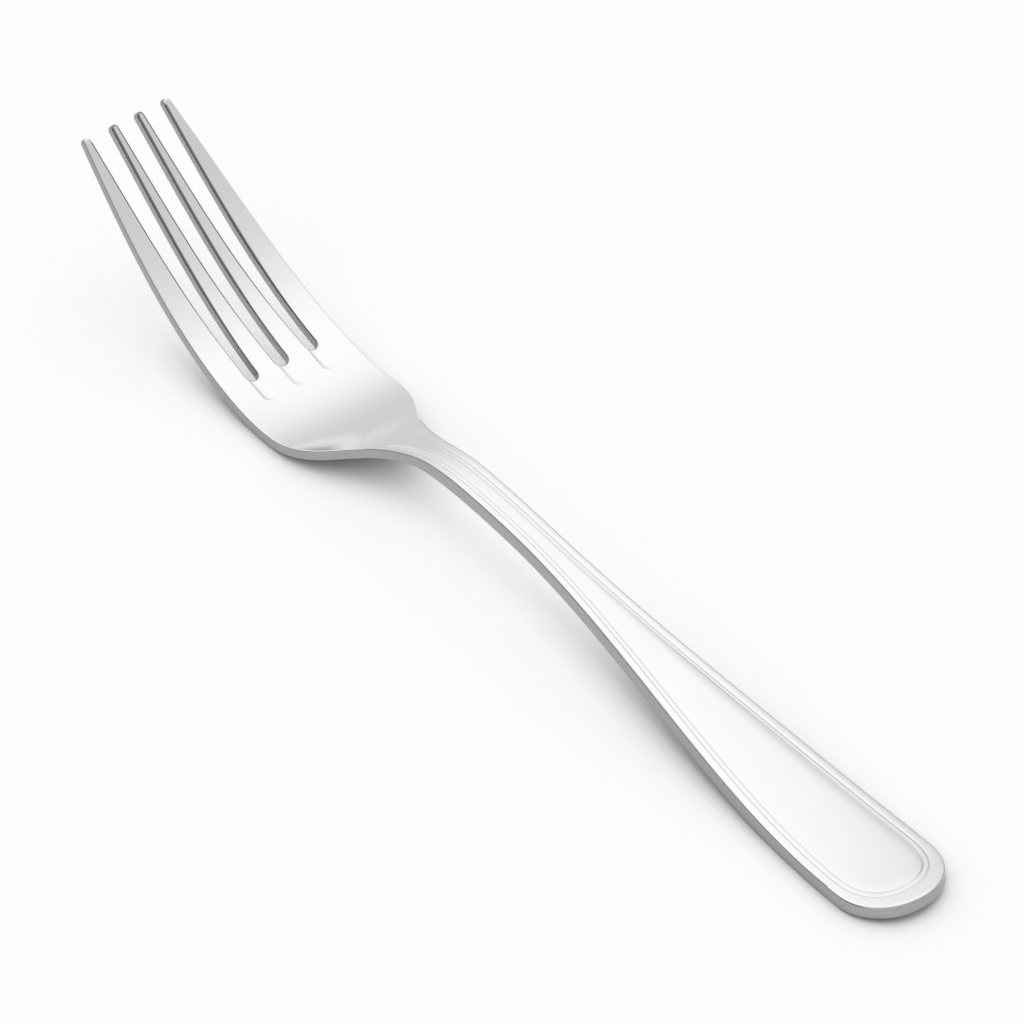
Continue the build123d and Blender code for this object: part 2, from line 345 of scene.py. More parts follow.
class ForkShape:
    """The fork's surfaces, worked out from its sizes."""

    # Points of the underside between its named ones, as shares of the way and of the height.
    handle_rise = [(0.27, 0.195), (0.6, 0.628)]
    head_drop = [(0.2, 0.962), (0.45, 0.694), (0.7, 0.258)]
    tine_rise = [(0.245, 0.0924), (0.53, 0.3512)]
    # Handle left plain past the border, and the gap kept between the tips and the fork's box.
    plain_neck = 3.0 * MM
    clearance = 0.01 * MM
    # Stations at which the lowest point of the underside is looked for.
    height_samples = 800

    def __init__(self, plan, side, detail):
        self.plan, self.side, self.detail = plan, side, detail
        self.half_head = plan.head_width / 2
        self.half_neck = plan.neck_width / 2
        self.half_handle = plan.handle_end_width / 2
        self.tip_radius = plan.tip_width / 2
        self.tip_start = plan.overall_length - self.tip_radius
        self.middle = plan.overall_length / 2
        flank = plan.flank_angle
        self.flank_rise = math.tan(flank)
        self.neck_corner = plan.shoulder_station - (self.half_head - self.half_neck) / self.flank_rise
        neck_tangent = plan.neck_fillet * math.tan(flank / 2)
        shoulder_tangent = plan.shoulder_radius * math.tan(flank / 2)
        self.fillet_start = self.neck_corner - neck_tangent
        self.fillet_end = self.neck_corner + neck_tangent * math.cos(flank)
        self.flank_end = plan.shoulder_station - shoulder_tangent * math.cos(flank)
        self.shoulder_end = plan.shoulder_station + shoulder_tangent
        self.centre_slot_half = plan.centre_slot_root / 2
        self.outer_slot_half = plan.outer_slot_root / 2
        self.inner_tine_edge = self.centre_slot_half + plan.inner_tine_root
        self.outer_slot_middle = self.inner_tine_edge + self.outer_slot_half
        self.head_start = detail.border_end + self.plain_neck
        self.underside = self.side_view()
        stations = np.linspace(0, plan.overall_length, self.height_samples)
        self.lowest = min(self.underside.at(station)[0] for station in stations)
        self.face_end = FORK_HIGH.x + self.middle - self.clearance
        self.face_end -= self.lean(plan.overall_length, side.tip_thickness)

    def side_view(self):
        """Underside of the fork along its centre line."""
        side = self.side
        rest = (side.rest_station, 0.0)
        arch = (side.arch_station, side.arch_height)
        heel = (side.heel_station, 0.0)
        tip = (self.plan.overall_length, side.tip_lift)
        fall = [(along, 1 - up) for along, up in self.head_drop]
        points = [(0.0, side.end_lift), rest] + between(rest, arch, self.handle_rise)
        points += [arch] + between(arch, heel, fall)
        points += [heel] + between(heel, tip, self.tine_rise) + [tip]
        return SmoothCurve(points, side.end_slope, side.tip_slope)

    def thickness(self, station):
        """Thickness on the centre line, square to the sheet."""
        side = self.side
        return blend(station, [
            (side.rest_station, side.handle_thickness),
            (side.arch_station, side.neck_thickness),
            (self.neck_corner, side.flank_thickness),
            (side.heel_station, side.head_thickness),
            (self.plan.overall_length, side.tip_thickness),
        ])

    def bend(self, station):
        """Curvature across the fork: above zero it is crowned, below zero dished."""
        side = self.side
        return blend(station, [
            (side.arch_station, 1 / side.crown_radius),
            (self.neck_corner, 0.0),
            (self.plan.shoulder_station, -1 / side.dish_radius),
            (side.heel_station, -1 / side.dish_radius),
            (side.heel_station + side.dish_fade, 0.0),
            (self.plan.overall_length, 1 / side.tine_crown_radius),
        ])

    def levelled(self, station, across):
        """Square of the way across, which turns into that of the middle of the tine."""
        plan = self.plan
        outer = (self.outer_slot_middle + self.outer_slot_half + self.half_head) / 2
        inner = (self.centre_slot_half + self.inner_tine_edge) / 2
        tips = (plan.tip_span / 2 - self.tip_radius, plan.inner_tip_pitch / 2)
        way = (station - plan.slot_root) / (plan.overall_length - plan.slot_root)
        root, tip = (outer, tips[0]) if abs(across) > self.outer_slot_middle else (inner, tips[1])
        level = ease((station - plan.slot_root) / self.side.tine_level)
        return mix(across**2, mix(root, tip, way)**2, level)

    def lean(self, station, depth):
        """How far ahead a tine's wall has come at a depth below the face, square to the sheet."""
        heel = self.side.heel_station
        slope = self.underside.at(station)[1] * ease((station - heel) / (self.plan.slot_root - heel))
        return depth * slope / math.sqrt(1 + slope**2)

    def top(self, station, across):
        """Height of the face, with the scoops at the slots' roots."""
        height, slope = self.underside.at(station)
        height += self.thickness(station) * math.sqrt(1 + slope**2)
        height -= self.bend(station) * self.levelled(station, across) / 2
        return height - self.lowest - self.scoop(station, across)

    def bottom(self, station, across):
        """Height of the underside."""
        height = self.underside.at(station)[0]
        return height - self.lowest + max(-self.bend(station), 0.0) * across**2 / 2

    def scoop(self, station, across):
        """Depth of the scoop at a point of the face."""
        detail = self.detail
        reach = detail.scoop_width / 2
        first = self.plan.slot_root - detail.scoop_length + reach
        ahead = max(first - station, 0.0)
        aside = min(abs(across), abs(across - self.outer_slot_middle))
        away = math.hypot(ahead, aside) / reach
        return detail.scoop_depth * max(1 - away**detail.scoop_steepness, 0.0)

    def handle_half_width(self, station):
        """Half width of the handle and the neck's fillet."""
        plan = self.plan
        taper = [(plan.cap_length, self.half_handle), (plan.neck_station, self.half_neck)]
        along = max(station - self.fillet_start, 0.0)
        return blend(station, taper) + plan.neck_fillet - math.sqrt(plan.neck_fillet**2 - along**2)

    def half_width(self, station):
        """Half width of the outline, from the widest station of the handle to the tips."""
        if station < self.fillet_end:
            return self.handle_half_width(station)
        if station < self.flank_end:
            return self.half_neck + (station - self.neck_corner) * self.flank_rise
        if station < self.shoulder_end:
            radius = self.plan.shoulder_radius
            left = self.shoulder_end - station
            return self.half_head - radius + math.sqrt(radius**2 - left**2)
        way = (station - self.shoulder_end) / (self.plan.overall_length - self.shoulder_end)
        return mix(self.half_head, self.plan.tip_span / 2, way**self.plan.side_sweep)


def rounded_cap(end, widest, half_width, squareness, angle):
    """Point of a rounded end: angle 0 is its end on the centre line, a quarter turn its side."""
    inward = max(math.cos(angle), 0.0) ** (2 / squareness)
    outward = math.sin(angle) ** (2 / squareness)
    return Vector((mix(widest, end, inward), half_width * outward))


def arc(centre, radius, start, end, count):
    """Points of an arc, without its first and last points."""
    angles = [mix(start, end, step / count) for step in range(1, count)]
    return [centre + radius * Vector((math.cos(angle), math.sin(angle))) for angle in angles]


def bowed(root, tip, bow, shares):
    """Points of a tine's side from its root to its tip, bowed towards the fork's line."""
    return [
        mix(root, tip, share) - Vector((0.0, 4 * share * (1 - share) * bow))
        for share in shares
    ]


# Places in the fork's list of finishes.
POLISHED = 0
SATIN = 1
# The third finish is polished steel painted darker along the slots' edges: painted shade.
PAINTED_SHADE_EDGE = 2


class HalfOutline:
    """Points round one half of the fork, from the handle's end to the centre slot's root."""

    # Points along the cap, along and across a tine, and round the slots' roots.
    cap_steps = 28
    tine_steps = 44
    across_steps = 10
    outer_root_steps = 12
    centre_root_steps = 6
    # Steps between points, and the stretches before the head and the slots where they are finer.
    handle_step = 1.25 * MM
    fine_handle_length = 9.0 * MM
    fine_handle_step = 0.35 * MM
    head_step = 0.9 * MM
    fine_head_length = 5.5 * MM
    fine_head_step = 0.27 * MM
    # Edge rounding along the sides, at the slots' roots and under the handle's end, as a
    # share of what the side view gives.
    side_share = 0.5
    root_share = 0.4
    end_share = 4.0
    # How many points past the cap the satin edge starts.
    satin_delay = 2

    def __init__(self, shape):
        self.shape = shape
        self.root_start = shape.plan.slot_root + shape.outer_slot_half
        face_tip_start = shape.face_end - shape.tip_radius
        reach = (face_tip_start - self.root_start) / (shape.tip_start - self.root_start)
        self.shares = [reach * step / self.tine_steps for step in range(self.tine_steps + 1)]
        self.points = []
        self.add_cap()
        self.add_handle_and_head()
        self.add_outer_tine()
        self.add_inner_tine()
        self.normals = self.inward_normals()

    def add_cap(self):
        """Rounded end of the handle, up to its widest station."""
        plan, half_width = self.shape.plan, self.shape.half_handle
        self.cap_angles = [math.pi / 2 * step / self.cap_steps for step in range(self.cap_steps)]
        for angle in self.cap_angles:
            point = rounded_cap(0.0, plan.cap_length, half_width, plan.cap_squareness, angle)
            self.points.append(point)

    def add_side(self, stations):
        """Outer side of the fork at some stations."""
        for station in stations:
            self.points.append(Vector((station, self.shape.half_width(station))))

    def add_handle_and_head(self):
        """Side of the handle, the neck and the head, up to the roots of the slots."""
        cap_end, head_start = self.shape.plan.cap_length, self.shape.head_start
        handle_break = head_start - self.fine_handle_length
        head_break = self.shape.plan.slot_root - self.fine_head_length
        self.handle_stations = spaced(cap_end, handle_break, self.handle_step)
        self.handle_stations += spaced(handle_break, head_start, self.fine_handle_step)
        self.handle_start = len(self.points)
        self.add_side(self.handle_stations)
        self.head_start = len(self.points)
        self.add_side(spaced(head_start, head_break, self.head_step))
        self.add_side(spaced(head_break, self.root_start, self.fine_head_step))

    def add_outer_tine(self):
        """Both sides and the tip of the outer tine, and the root of the outer slot."""
        shape, plan = self.shape, self.shape.plan
        self.outer_side = len(self.points)
        self.add_side(mix(self.root_start, shape.tip_start, share) for share in self.shares)
        self.outer_tip = len(self.points) - 1
        tip = Vector((shape.tip_start, shape.half_width(shape.tip_start) - plan.tip_width))
        root = Vector((self.root_start, shape.outer_slot_middle + shape.outer_slot_half))
        self.add_tip(bowed(root, tip, plan.outer_slot_bow, reversed(self.shares)))
        self.outer_root = len(self.points) - 1
        centre = Vector((self.root_start, shape.outer_slot_middle))
        half_turn = (math.pi / 2, 3 * math.pi / 2)
        self.points += arc(centre, shape.outer_slot_half, *half_turn, self.outer_root_steps)

    def add_inner_tine(self):
        """Both sides and the tip of the inner tine, and the root of the centre slot."""
        shape, plan = self.shape, self.shape.plan
        self.inner_side = len(self.points)
        root = Vector((self.root_start, shape.inner_tine_edge))
        tip = Vector((shape.tip_start, plan.inner_tip_pitch / 2 + shape.tip_radius))
        self.points += bowed(root, tip, 0.0, self.shares)
        self.inner_tip = len(self.points) - 1
        tip = Vector((shape.tip_start, plan.inner_tip_pitch / 2 - shape.tip_radius))
        root = Vector((plan.slot_root + shape.centre_slot_half, shape.centre_slot_half))
        self.add_tip(bowed(root, tip, plan.centre_slot_bow, reversed(self.shares)))
        self.centre_root = len(self.points) - 1
        centre = Vector((root.x, 0.0))
        quarter = (math.pi / 2, math.pi)
        self.points += arc(centre, shape.centre_slot_half, *quarter, self.centre_root_steps)
        self.points.append(Vector((plan.slot_root, 0.0)))

    def add_tip(self, far_side):
        """Round end of a tine, from its last point over to its far side."""
        near = self.points[-1]
        turn = (math.pi / 2, -math.pi / 2)
        centre = mix(near, far_side[0], 0.5)
        self.points += arc(centre, near.y - centre.y, *turn, self.across_steps) + far_side

    def inward_normals(self):
        """Direction into the steel at each point."""
        normals = [Vector((1.0, 0.0))]
        for before, after in zip(self.points, self.points[2:]):
            along = (after - before).normalized()
            normals.append(Vector((along.y, -along.x)))
        return normals + [Vector((-1.0, 0.0))]

    def sharpness(self, upper):
        """How large the edge's rounding is at each point, as a share of its usual size."""
        if not upper:
            stops = [(self.cap_steps // 2, self.end_share), (self.handle_start, 1.0)]
            return [blend(index, stops) for index in range(len(self.points))]
        cap = (self.cap_steps // 2, 1.0), (self.handle_start + self.cap_steps // 4, self.side_share)
        tip = (self.outer_tip, self.side_share), (self.outer_tip + self.across_steps, 1.0)
        slot = (self.outer_root - self.tine_steps // 2, 1.0), (self.outer_root, self.root_share)
        inner = (self.inner_side, self.root_share), (self.inner_side + self.tine_steps // 2, 1.0)
        centre = (self.centre_root - self.tine_steps // 2, 1.0), (self.centre_root, self.root_share)
        stops = [*cap, *tip, *slot, *inner, *centre]
        return [blend(index, stops) for index in range(len(self.points))]

    def edge_finishes(self):
        """Parts of the outline with the finish of their rounded edge; along the slots it is steel
        painted darker, as painted shade.
        """
        start, end = self.handle_start + self.satin_delay, self.head_start
        slots = self.outer_tip + self.across_steps
        return [
            (slice(0, start + 1), POLISHED),
            (slice(start, end + 1), SATIN),
            (slice(end, slots + 1), POLISHED),
            (slice(slots, None), PAINTED_SHADE_EDGE),
        ]

    def inset(self, distances):
        """The outline moved into the steel."""
        places = zip(self.points, self.normals, distances)
        return [point + normal * distance for point, normal, distance in places]


# ---- mesh ----

class Border:
    """Rows of the handle's face: its rim, the bead with its two grooves, and the panel."""

    # Rows across the rim and the bead, which reach past the two grooves by a share of the bead.
    rim_rows = 5
    bead_rows = 21
    first_share = -0.42
    last_share = 1.42
    # Stretch of the centre line that the cap's columns end on.
    panel_start = 8.0 * MM
    panel_widest = 15.0 * MM
    # Most of the panel's half width that its rounded side takes, and how fast its rows widen.
    panel_share = 0.55
    row_growth = 1.4

    def __init__(self, shape, outline):
        self.shape, self.outline, self.detail = shape, outline, shape.detail

    def place(self, column):
        """Border station of a column past the cap, which runs from the border's cap to the head."""
        station = self.outline.handle_stations[column - self.outline.handle_start]
        start, end = self.shape.plan.cap_length, self.shape.head_start
        return mix(self.detail.border_cap, end, (station - start) / (end - start))

    def half_width(self, station, share):
        """Half width at the border: share 0 is the bead's outer groove, 1 its inner groove."""
        rim, bead = self.widths(station)
        return self.shape.handle_half_width(station) - rim - bead * share

    def widths(self, station):
        """Widths of the rim and of the bead."""
        detail = self.detail
        span = (detail.border_cap, self.shape.plan.neck_station)
        rim = blend(station, list(zip(span, (detail.rim, detail.rim_at_neck))))
        bead = blend(station, list(zip(span, (detail.bead, detail.bead_at_neck))))
        return rim, bead

    def point(self, column, share):
        """Point of the border at a column of the outline."""
        if column < self.outline.handle_start:
            end = self.detail.rim_at_end + share * self.detail.bead
            half_width = self.half_width(self.detail.border_cap, share)
            angle = self.outline.cap_angles[column]
            squareness = self.detail.border_squareness
            return rounded_cap(end, self.detail.border_cap, half_width, squareness, angle)
        station = self.place(column)
        return Vector((station, self.half_width(station, share)))

    def middle(self, column):
        """Point of the centre line that a column ends on."""
        if column < self.outline.handle_start:
            turned = math.sin(self.outline.cap_angles[column])
            return Vector((mix(self.panel_start, self.panel_widest, turned), 0.0))
        start, end = self.detail.border_cap, self.shape.head_start
        way = (self.place(column) - start) / (end - start)
        return Vector((mix(self.panel_widest, end, way), 0.0))

    def groove(self, station, share):
        """Depth of the bead's grooves, which close up into a round end at the neck."""
        detail = self.detail
        bead = self.widths(station)[1]
        fade = ease((station - detail.border_end + detail.border_fade) / detail.border_fade)
        past = max(station - detail.border_end, 0.0)
        depth = 0.0
        for centre, width, full in (
            (0.5 * fade, detail.outer_groove_width, detail.outer_groove_depth),
            (1 - 0.5 * fade, detail.inner_groove_width, detail.inner_groove_depth),
        ):
            away = math.hypot(bead * (share - centre), past) / (width / 2)
            if away < 1:
                depth = max(depth, full * (1 + math.cos(math.pi * away)) / 2)
        return depth

    def sink(self, station, inward):
        """How far the face sinks beside the bead, at a distance inwards of its outer groove."""
        detail = self.detail
        bead = self.widths(station)[1]
        fade = ease((detail.border_end - station) / detail.border_fade)
        dip = max(1 - abs(inward) / detail.dip_width, 0.0)
        half_panel = self.half_width(station, 1.0)
        width = min(self.panel_share * half_panel, detail.pillow_width)
        past = inward - bead
        flank = ease(1 + 2 * past / detail.inner_groove_width)
        pillow = flank if past < 0 else max(1 - past / width, 0.0) ** 2
        return fade * (detail.dip_depth * dip**2 + detail.pillow_slope * width / 2 * pillow)

    def column(self, index, edge, rows):
        """Plan points and depths of one column, from the rounded edge to the centre line."""
        station = self.detail.border_cap
        if index >= self.outline.handle_start:
            station = self.place(index)
        bead = self.widths(station)[1]
        outer, inner = self.point(index, 0.0), self.point(index, 1.0)
        first = self.point(index, self.first_share)
        last = self.point(index, self.last_share)
        middle = self.middle(index)
        places = []
        for step in range(self.rim_rows):
            place = mix(edge, first, step / self.rim_rows)
            places.append((place, self.sink(station, -(place - outer).length)))
        for step in range(self.bead_rows + 1):
            share = mix(self.first_share, self.last_share, step / self.bead_rows)
            depth = self.groove(station, share) + self.sink(station, bead * share)
            places.append((self.point(index, share), depth))
        left = rows - self.rim_rows - self.bead_rows
        for step in range(1, left + 1):
            place = mix(last, middle, (step / left) ** self.row_growth)
            places.append((place, self.sink(station, bead + (place - inner).length)))
        return places


class PlainRows:
    """Evenly spaced rows for the underside."""

    def __init__(self, border):
        self.border = border

    def column(self, index, edge, rows):
        """Plan points and depths of one column, from the rounded edge to the centre line."""
        middle = self.border.middle(index)
        return [(mix(edge, middle, step / rows), 0.0) for step in range(rows + 1)]


def weave(mesh, columns, finish=POLISHED):
    """Faces between neighbouring columns of vertices."""
    for near, far in zip(columns, columns[1:]):
        for corners in zip(near, near[1:], far[1:], far):
            ring = list(dict.fromkeys(corners))
            if len(ring) > 2:
                face = mesh.faces.new(ring)
                face.material_index = finish
                face.smooth = True


class HalfFace:
    """One face of half the fork, upper or lower, with its rounded edge."""

    # Rows round an edge, of which the lowest are satin as the wall is.
    rounding_steps = 6
    satin_steps = 2
    # Step along the outline that its slope is measured over.
    slope_step = 0.1 * MM

    def __init__(self, mesh, shape, outline, rows, rounding, upper):
        self.mesh, self.shape, self.outline = mesh, shape, outline
        self.rounding = rounding
        self.upper = upper
        self.stations = {}
        self.radii = [rounding * share for share in outline.sharpness(upper)]
        self.row_count = (
            2 * outline.across_steps + outline.outer_root_steps + outline.centre_root_steps
        )
        self.loops = [self.loop(step) for step in range(self.rounding_steps + 1)]
        self.edge = self.loops[0]
        self.inner = self.loops[-1]
        weave(mesh, self.loops[:self.satin_steps + 1], SATIN)
        for part, finish in outline.edge_finishes():
            weave(mesh, [loop[part] for loop in self.loops[self.satin_steps:]], finish)
        handle = self.handle(rows)
        outer = self.tine(outline.outer_side, outline.outer_tip)
        inner = self.tine(outline.inner_side, outline.inner_tip)
        weave(mesh, handle + self.head(handle[-1], outer[0], inner[0]))

    def vertex(self, place, depth=0.0):
        """Vertex on this face at a plan point, sunk by a depth."""
        station, across = place
        shape = self.shape
        if self.upper:
            height = shape.top(station, across) - depth - self.roll(station, across)
            ahead = shape.lean(station, depth)
        else:
            thickness = shape.thickness(station)
            height = shape.bottom(station + shape.lean(station, thickness), across) + depth
            ahead = shape.lean(station, thickness - depth)
        vertex = self.mesh.verts.new((station + ahead - shape.middle, across, height))
        self.stations[vertex] = station
        return vertex

    def roll(self, station, across):
        """How far the handle's rim rolls off at a point."""
        shape, plan, detail = self.shape, self.shape.plan, self.shape.detail
        if station < plan.cap_length:
            power = plan.cap_squareness
            past = (1 - station / plan.cap_length) ** power
            past += (abs(across) / shape.half_handle) ** power
            inset = shape.half_handle * (1 - past ** (1 / power))
        else:
            inset = shape.half_width(min(station, shape.tip_start)) - across
        share = 1 - min(max(inset, 0.0) / detail.rim_roll_width, 1.0)
        past_neck = (station - plan.neck_station) / (shape.head_start - plan.neck_station)
        return detail.rim_roll * share**2 * (1 - ease(past_neck))

    def loop(self, step):
        """Loop of the rounded edge: step 0 is its vertical side, the last step the face."""
        turn = math.pi / 2 * step / self.rounding_steps
        insets = [radius * (1 - math.cos(turn)) for radius in self.radii]
        depths = [radius * (1 - math.sin(turn)) for radius in self.radii]
        return [self.vertex(*place) for place in zip(self.outline.inset(insets), depths)]

    def handle(self, rows):
        """Columns of the handle and the neck, up to where the head starts."""
        points = self.outline.inset(self.radii)
        columns = []
        for index in range(self.outline.head_start):
            places = rows.column(index, points[index], self.row_count)
            column = [self.inner[index]]
            column += [self.vertex(place, depth) for place, depth in places[1:]]
            columns.append(column)
        return columns

    def tine(self, first, tip):
        """Columns of one tine, from its root to its tip."""
        outline = self.outline
        points = outline.inset(self.radii)
        across = outline.across_steps
        columns = []
        for step in range(tip - first + 1):
            near, far = first + step, 2 * tip + across - first - step
            column = [self.inner[near]]
            for share in range(1, across):
                column.append(self.vertex(mix(points[near], points[far], share / across)))
            columns.append(column + [self.inner[far]])
        round_end = self.inner[tip:tip + across + 1]
        weave(self.mesh, columns + [round_end])
        return columns

    def head(self, start, outer_tine, inner_tine):
        """Columns of the head, spread from the neck to the tines and the slots' roots."""
        outline = self.outline
        end = outer_tine + self.inner[outline.outer_root + 1:outline.inner_side]
        end += inner_tine + self.inner[outline.centre_root + 1:]
        starts, ends = ([self.stations[vertex] for vertex in column] for column in (start, end))
        shares = [self.shares(column) for column in (start, end)]
        columns = []
        for side in self.inner[outline.head_start:outline.outer_side]:
            way = (self.stations[side] - starts[0]) / (ends[0] - starts[0])
            column = [side]
            for row in range(1, self.row_count + 1):
                along = mix(starts[row], ends[row], way)
                share = mix(shares[0][row], shares[1][row], ease(way))
                column.append(self.vertex((along, share * self.face_half_width(along))))
            columns.append(column)
        return columns + [end]

    def shares(self, column):
        """How far out each vertex of a column lies, as a share of the face's half width."""
        return [vertex.co.y / self.face_half_width(self.stations[vertex]) for vertex in column]

    def face_half_width(self, station):
        """Half width of the flat of the face, inside its rounded edge."""
        width = self.shape.half_width(station)
        slope = (self.shape.half_width(station + self.slope_step) - width) / self.slope_step
        return width - self.rounding * math.sqrt(1 + slope**2)


# Shares of its height at which the wall is parted, and how near to the centre line, or to its
# mirror image, a point is taken as on it.
WALL_ROWS = (1 / 3, 2 / 3)
CENTRE_REACH = 1e-7
MERGE_REACH = 1e-6


def fork_mesh(shape):
    """Closed mesh of the whole fork, made as one half and its mirror image."""
    mesh = bmesh.new()
    outline = HalfOutline(shape)
    border = Border(shape, outline)
    upper = HalfFace(mesh, shape, outline, border, shape.side.top_rounding, True)
    plain = PlainRows(border)
    lower = HalfFace(mesh, shape, outline, plain, shape.side.bottom_rounding, False)
    wall = [upper.edge]
    for share in WALL_ROWS:
        places = [mix(top.co, bottom.co, share) for top, bottom in zip(upper.edge, lower.edge)]
        wall.append([mesh.verts.new(place) for place in places])
    weave(mesh, wall + [lower.edge], SATIN)
    for vertex in mesh.verts:
        if abs(vertex.co.y) < CENTRE_REACH:
            vertex.co.y = 0.0
    everything = mesh.verts[:] + mesh.edges[:] + mesh.faces[:]
    bmesh.ops.mirror(mesh, geom=everything, axis="Y", merge_dist=MERGE_REACH)
    bmesh.ops.recalc_face_normals(mesh, faces=mesh.faces)
    return mesh


# ---- finishes ----

# How finely the haze and the lines or grain break up, and the span that most of a noise lies in.
HAZE_DETAIL = 2.0
FINE_DETAIL = 3.0
NOISE_SPAN = (0.3, 0.7)
# Roughness of the polish where it is clearest and where it is haziest, as shares of its usual.
CLEAREST = 0.9
HAZIEST = 1.15
# Fine lines along the fork that polishing leaves.
LINE_WIDTH = 0.25 * MM
LINE_DEPTH = 0.0004 * MM
LINE_STRENGTH = 0.3
LINE_STRETCH = (0.05, 1.0, 1.0)
# Grain of the cut edges.
GRAIN_DEPTH = 0.006 * MM
GRAIN_STRENGTH = 0.4


def new_material(name, colour, metallic, roughness):
    """Material with its main shader set."""
    material = bpy.data.materials.new(name)
    material.use_nodes = True
    shader = material.node_tree.nodes["Principled BSDF"]
    shader.inputs["Base Color"].default_value = (*colour, 1.0)
    shader.inputs["Metallic"].default_value = metallic
    shader.inputs["Roughness"].default_value = roughness
    return material, material.node_tree, shader


def add_noise(tree, size, detail, stretch=(1.0, 1.0, 1.0)):
    """Noise with features of a real size, longer where the stretch is below 1."""
    where = tree.nodes.new("ShaderNodeTexCoord")
    scaling = tree.nodes.new("ShaderNodeMapping")
    scaling.inputs["Scale"].default_value = stretch
    noise = tree.nodes.new("ShaderNodeTexNoise")
    noise.inputs["Scale"].default_value = 1 / size
    noise.inputs["Detail"].default_value = detail
    tree.links.new(where.outputs["Object"], scaling.inputs["Vector"])
    tree.links.new(scaling.outputs["Vector"], noise.inputs["Vector"])
    return noise.outputs["Fac"]


def ranged(tree, value, start, end, low=0.0, high=1.0, kind="LINEAR"):
    """Number that goes from low to high as a value goes from start to end."""
    node = tree.nodes.new("ShaderNodeMapRange")
    node.interpolation_type = kind
    limits = {"From Min": start, "From Max": end, "To Min": low, "To Max": high}
    for name, limit in limits.items():
        node.inputs[name].default_value = limit
    tree.links.new(value, node.inputs["Value"])
    return node.outputs["Result"]


def add_bump(tree, shader, source, height, strength):
    """Bump of a real height."""
    bump = tree.nodes.new("ShaderNodeBump")
    bump.inputs["Distance"].default_value = height
    bump.inputs["Strength"].default_value = strength
    tree.links.new(source, bump.inputs["Height"])
    tree.links.new(bump.outputs["Normal"], shader.inputs["Normal"])


def polished_steel(finish, name, steel):
    """Mirror-like steel with the faint haze and fine lines that polishing leaves."""
    material, tree, shader = new_material(name, steel, 1.0, finish.polish)
    haze = add_noise(tree, finish.haze, HAZE_DETAIL)
    limits = finish.polish * CLEAREST, finish.polish * HAZIEST
    roughness = ranged(tree, haze, *NOISE_SPAN, *limits)
    tree.links.new(roughness, shader.inputs["Roughness"])
    lines = add_noise(tree, LINE_WIDTH, FINE_DETAIL, LINE_STRETCH)
    add_bump(tree, shader, lines, LINE_DEPTH, LINE_STRENGTH)
    return material


def mixed_colour(tree, share, first, last):
    """Colour between two others, of which the last may be a socket."""
    node = tree.nodes.new("ShaderNodeMix")
    node.data_type = "RGBA"
    tree.links.new(share, node.inputs["Factor"])
    node.inputs["A"].default_value = (*first, 1.0)
    if isinstance(last, bpy.types.NodeSocket):
        tree.links.new(last, node.inputs["B"])
    else:
        node.inputs["B"].default_value = (*last, 1.0)
    return node.outputs["Result"]


def satin_steel(finish):
    """Blanked and tumbled steel of the cut edges, with a fine even grain."""
    material, tree, shader = new_material("satin_edge_steel", finish.edge_steel, 1.0, finish.satin)
    grain = add_noise(tree, finish.grain, FINE_DETAIL)
    dull = [channel * (1 - finish.contrast) for channel in finish.edge_steel]
    bright = [channel * (1 + finish.contrast) for channel in finish.edge_steel]
    tint = mixed_colour(tree, ranged(tree, grain, *NOISE_SPAN), dull, bright)
    tree.links.new(tint, shader.inputs["Base Color"])
    add_bump(tree, shader, grain, GRAIN_DEPTH, GRAIN_STRENGTH)
    return material


class FORK_OT_body(Operator):
    """Makes the fork in polished steel with satin cut edges"""
    bl_idname = "fork.body"
    bl_label = "Make the fork"

    def execute(self, context):
        scene = context.scene
        shape = ForkShape(scene.fork_plan, scene.fork_side_view, scene.fork_detail)
        data = bpy.data.meshes.new("fork_steel")
        mesh = fork_mesh(shape)
        mesh.to_mesh(data)
        mesh.free()
        finish = scene.fork_finish
        data.materials.append(polished_steel(finish, "polished_steel", finish.steel))
        data.materials.append(satin_steel(finish))
        # Polished steel painted darker for the slots' edges: painted shade.
        data.materials.append(polished_steel(finish, "painted_shade_edge_steel", finish.painted_shade_steel))
        body = bpy.data.objects.new("fork_steel", data)
        scene.collection.objects.link(body)
        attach(body, "root")
        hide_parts("fork")
        return {"FINISHED"}


# ---- studio ----

# Rays with which the floor's painted contact shadow looks for what closes it in.
CONTACT_RAYS = 6


